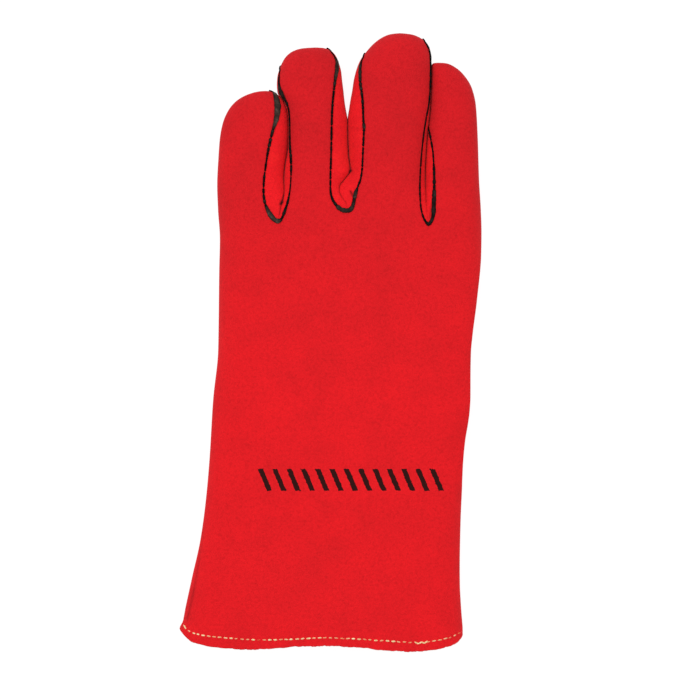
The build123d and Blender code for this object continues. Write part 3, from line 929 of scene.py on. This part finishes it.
def make_piping():
    loops, flips = [], []
    beads = {f"{f.name}_{part}": [] for f in FINGERS for part in ("base", "tip")}
    for gap in range(len(CROTCHES)):
        for height, flip in ((top, True), (bottom, False)):
            rings, rows, owner = gap_beads(gap, height)
            loops.append(rings[rows <= HAND_TOP])
            flips.append(flip)
            for index in (gap, gap + 1):
                name, own = FINGERS[index].name, owner == index
                beads[f"{name}_base"].append((rings[own & (rows >= HAND_TOP) & (rows <= ROOT_TOP)], flip))
                beads[f"{name}_tip"].append((rings[own & (rows >= ROOT_TOP)], flip))
    obj = make_object("crotch_piping", loops, BLACK, flips=flips)
    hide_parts("crotch_welts")
    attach(obj, "hand")
    for f in FINGERS:
        for part, bend in (("base", bend_root), ("tip", bend_end)):
            name = f"{f.name}_{part}"
            patches, flips = zip(*beads[name])
            obj = make_object(f"{name}_piping", patches, BLACK, flips=flips)
            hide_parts(f"{name}_welts")
            bend(obj, f)


# ======== linings and hem
def inner_skin(index, rows, columns, height, inset):
    """One finger's share of a surface inside the hand, inset only where it meets the outline."""
    f, sides = FINGERS[index], (int(index == 0), int(index == len(FINGERS) - 1))
    left, right = outline(f, 0, inset * sides[0]), outline(f, 1, inset * sides[1])
    return skin(f, rows, left, right, columns, height, inset, sides)


def lining_patches(rows, inset):
    return [inner_skin(i, rows, 24, height, inset) for height in (top, bottom) for i in range(len(FINGERS))]


def make_linings():
    flips = [False] * 4 + [True] * 4
    rows = rows_between(CUFF_SEAM, CROTCH_3[1] - 1, 3.0)
    patches = lining_patches(rows, HAND_LINING)
    obj = make_object("hand_fleece", patches, FLEECE, flips=flips)
    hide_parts("hand_lining")
    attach(obj, "hand")
    rows = rows_between(HEM + 1.6, CUFF_SEAM + 0.5, 2.4)
    patches = lining_patches(rows, CUFF_LINING)
    obj = make_object("cuff_canvas", patches, CANVAS, flips=flips)
    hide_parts("cuff_lining")
    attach(obj, "hand")


# rounded cut edges, from outside to inside: depth under the skin, and shift in y
LEATHER_EDGE = (
    (0, 0), (0.12, -0.3), (0.7, -0.45), (LEATHER - 0.15, -0.3), (LEATHER, 0), (LEATHER + 0.02, 3.2),
)
CANVAS_EDGE = (
    (LEATHER + 0.02, 1.9), (1.6, 1.35), (2.1, 1.2), (CUFF_LINING - 0.05, 1.4), (CUFF_LINING, 1.7),
)


def edge_patches(steps):
    """A cut edge right round the cuff's mouth."""
    patches = []
    for height, columns in ((top, BACK_COLUMNS), (bottom, PALM_COLUMNS)):
        for i in range(len(FINGERS)):
            rings = []
            for inset, shift in steps:
                ring = inner_skin(i, np.array([HEM]), columns, height, inset)[0]
                rings.append(ring + [0, shift, 0, 0])
            patches.append(np.stack(rings))
    return patches


def make_raw_edge():
    for name, steps, material, slot in (
        ("hem_raw_edge", LEATHER_EDGE, RAW_EDGE, "red_suede"),
        ("canvas_edge", CANVAS_EDGE, CANVAS, "canvas_lining"),
    ):
        obj = make_object(name, edge_patches(steps), material, flips=[True] * 4 + [False] * 4)
        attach(obj, "hand")


def on_cuff(x, y, height):
    """Points of the cuff's skin at places in the finished plan."""
    row = y  # it closes in on the row that curving the hem moves to y
    for _ in range(25):
        row = y - hem_shift(x, row)
    over, soft = (1, 1) if height is top else (-1, 0.6)
    z = height(FINGERS[1], x, row) + relief(x, row, RELIEF_LEVEL * over) * soft
    return np.stack([x, y, z], axis=-1)


def thread_bead(start, end, over, thick):
    """One stitch: a short thread that comes up out of the leather, lies on it and goes down again."""
    t = np.linspace(0, 1, 9)
    points = start + (end - start) * t[:, None]
    rise = np.sin(math.pi * t) ** 0.5
    points[:, 2] += over * (0.42 * rise - 0.25) * thick
    width = thick * (0.45 + 0.55 * rise)
    return sweep(points, np.array([0.0, 0.0, over]), width, width * 0.85, 0.0, sides=8)


def make_stitches():
    """A row of uneven stitches on both sides of the hem. The back's is sewn to and fro over a short tack."""
    first, last, tack_from, tack_to = -84.4, 73.4, 46.2, 54.6
    plain_pitch, tacked_pitch = 3.22, 1.75
    beads = []
    for height, over in ((top, 1), (bottom, -1)):
        x = first
        while x < last:
            tacked = tack_from < x < tack_to and over > 0
            steep = x < -76 or x > 66
            pitch = (tacked_pitch if tacked else plain_pitch) + rng.normal(0, 0.14)
            length = (2.4 if tacked else 2.05) + rng.normal(0, 0.2)
            side = (0.6 if int(x / tacked_pitch) % 2 else -0.6) if tacked else rng.normal(0, 0.07)
            ends_x = np.array([x, x + length * (0.72 if steep else 1)])
            lean = np.array([side, -side]) + rng.normal(0, 0.09, 2)
            points = on_cuff(ends_x, STITCH_LINE(ends_x) + lean, height)
            sunk = 0.1 if tacked else np.clip(rng.normal(0.38, 0.3), 0, 1)
            bead = thread_bead(points[0], points[1], over, 0.96 - 0.36 * sunk + rng.normal(0, 0.05))
            tone = np.full((*bead.shape[:2], 1), sunk)
            beads.append(np.concatenate([bead, tone], axis=-1))
            x += pitch * (0.8 if steep else 1)
    obj = make_object("hem_thread", beads, THREAD, flips=[True] * len(beads), weld=0.002)
    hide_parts("hem_stitches")
    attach(obj, "hand")


# ======== thumb, tucked under the palm
THUMB_X, THUMB_Y = 54.0, -47.8  # middle of its round seam in the palm, which it swings about
THUMB_LOW, THUMB_HIGH = -66.8, 34.2
THUMB_SIDE = 6.2  # height of its side seam
THUMB_HOLE = 21.4  # radius of its round seam
THUMB_LEFT = Line(
    (THUMB_X, THUMB_LOW), (THUMB_X - 9.5, -64.4), (THUMB_X - 16.4, -57.4), (THUMB_X - 19, -47.8),
    (THUMB_X - 18.2, -32), (THUMB_X - 16.2, -14), (THUMB_X - 16.6, 4), (THUMB_X - 16.2, 16),
    (THUMB_X - 12.8, 27), (THUMB_X - 6.8, 33), (THUMB_X, THUMB_HIGH),
)
THUMB_TOP = profile((-67, 12.5), (-40, 12.5), (-14, 11.6), (10, 12.2), (34, 11.6))


def thumb_rows(inset=0.0):
    """Rows of the thumb, closer together towards its ends."""
    low, high = THUMB_LOW + inset, THUMB_HIGH - inset
    ends = 9 * np.linspace(0, 1, 12) ** 2
    return np.unique(np.concatenate([low + ends, np.arange(low + 10, high - 9, 1.6), high - ends]))


def thumb_half(upper, inset=0.0):
    """The upper or lower skin of the thumb."""
    power = 2.5  # roundness of its cross-section, like BACK_POWER
    rows = thumb_rows(inset)
    stretch = (rows - rows[0]) / (rows[-1] - rows[0])
    wide = THUMB_X - THUMB_LEFT(THUMB_LOW + (THUMB_HIGH - THUMB_LOW) * stretch)
    half = np.maximum(wide - inset * np.sin(math.pi * stretch) ** 0.3, 0)
    c = np.cos(np.linspace(0, math.pi, 23))
    t = np.sign(c) * np.abs(c) ** 0.87
    x = THUMB_X + half[:, None] * t
    y = np.repeat(rows[:, None], len(t), axis=1)
    end = np.minimum(rows - rows[0], rows[-1] - rows)[:, None]
    shut = np.sqrt(1 - (1 - np.clip(end / 11, 0, 1)) ** 2)
    dome = (1 - np.abs(t) ** power) ** (1 / power) * shut
    if upper:
        z = THUMB_SIDE + (THUMB_TOP(y) - THUMB_SIDE - inset) * dome
    else:
        z = THUMB_SIDE - (THUMB_SIDE - 0.2 - inset) * dome
    if inset == 0:
        z = z + 0.5 * relief(x, y, 40 if upper else 60) * dome
    return np.stack([x, y, z], axis=-1)


def thumb_circle(turn, radius, z):
    """Points of a level circle about the thumb's axis."""
    x, y = THUMB_X + radius * np.cos(turn), THUMB_Y + radius * np.sin(turn)
    return np.stack([x, y, np.full(len(turn), z)], axis=-1)


def make_thumb():
    turn = np.linspace(0, 2 * math.pi, 73)
    rings = ((17.6, 10.2), (18.6, 10.5), (19.6, 11.2), (20.5, 12.2), (21.2, 13.3))  # radius and height
    skirt = np.array([thumb_circle(turn, radius, z) for radius, z in rings])
    obj = make_object("thumb_back_skin", [thumb_half(True), skirt], RED, flips=[False, True])
    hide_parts("thumb_back_panel")
    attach(obj, "thumb")
    obj = make_object("thumb_front_skin", [thumb_half(False)], RED, flips=[True])
    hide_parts("thumb_front_panel")
    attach(obj, "thumb")
    inner = [thumb_half(upper, THUMB_LINING) for upper in (True, False)]
    obj = make_object("thumb_fleece", inner, FLEECE, flips=[False, True])
    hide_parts("thumb_lining")
    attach(obj, "thumb")

    rows = thumb_rows()
    left = np.stack([THUMB_LEFT(rows), rows, np.full(len(rows), THUMB_SIDE)], axis=-1)
    right = left[::-1] * [-1, 1, 1] + [2 * THUMB_X, 0, 0]
    ring = np.vstack([left, right[1:]])
    s = arc_length(ring)
    ring = np.stack([np.interp(np.linspace(0, s[-1], 260), s, ring[:, k]) for k in range(3)], axis=-1)
    s = arc_length(ring)
    flow = np.gradient(ring, axis=0)
    outward = np.stack([-flow[:, 1], flow[:, 0], np.zeros(len(ring))], axis=-1)
    outward /= np.linalg.norm(outward, axis=1)[:, None]
    width = piping_width(np.full(len(ring), HIDDEN_PIPING), s, 9.0)
    bead = sweep(ring, outward, width, 1.3, 0.3)
    obj = make_object("thumb_piping", [bead], BLACK, flips=[True])
    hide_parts("thumb_side_welt")
    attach(obj, "thumb")

    ring = thumb_circle(np.linspace(0, 2 * math.pi, 181), THUMB_HOLE, TUCK_ROOF - 0.15)
    width = piping_width(np.full(len(ring), HIDDEN_PIPING), arc_length(ring), 11.0)
    width[-1] = width[0]
    bead = sweep(ring, np.array([0.0, 0.0, -1.0]), width, 1.2, 0.2)
    obj = make_object("thumb_seam_piping", [bead], BLACK, flips=[False])
    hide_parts("thumb_seam_welt")
    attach(obj, "hand")


def dress_label():
    """The blank size label stays as the frame has it, in woven tape."""
    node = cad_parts["size_label"]
    node.data.materials.clear()
    node.data.materials.append(label_tape())


# ======== stage, light and camera
def make_stage():
    """A pale floor just under the glove, two soft lamps, and a camera far above that looks straight down."""
    half, level = 3.0, -0.0006
    corners = [(-half, -half, level), (half, -half, level), (half, half, level), (-half, half, level)]
    floor_mesh = bpy.data.meshes.new("floor")
    floor_mesh.from_pydata(corners, [], [(0, 1, 2, 3)])
    floor = add_object("floor", floor_mesh)
    pale = Material("floor", (0.14, 0.14, 0.14), 0.9, specular=0.0)
    pale.feed(pale.inputs["Emission Color"], (1, 1, 1))
    pale.feed(pale.inputs["Emission Strength"], 0.92)
    floor_mesh.materials.append(pale.data)

    scene = bpy.context.scene
    world = bpy.data.worlds.new("world")
    world.use_nodes = True
    world.node_tree.nodes["Background"].inputs["Color"].default_value = (1, 1, 1, 1)
    world.node_tree.nodes["Background"].inputs["Strength"].default_value = 0.62
    scene.world = world
    for place, size, power in (((-0.5, 0.7, 1.3), 1.1, 12.0), ((0.7, -0.3, 1.5), 1.4, 7.0)):
        data = bpy.data.lights.new("soft", "AREA")
        data.size, data.energy = size, power
        lamp = add_object("soft", data)
        lamp.location = place
        lamp.rotation_euler = Vector(place).to_track_quat("Z", "Y").to_euler()

    camera = add_object("camera", bpy.data.cameras.new("camera"))
    camera.data.lens, camera.data.sensor_width, camera.data.clip_end = 200, 36, 20
    camera.location = (0.0112, -0.0045, 2.25)
    scene.camera = camera
    scene.view_settings.view_transform = "Standard"


make_stage()
make_hand()
make_fourchettes()
make_finger_skins()
make_piping()
make_linings()
make_raw_edge()
make_stitches()
make_thumb()
dress_label()
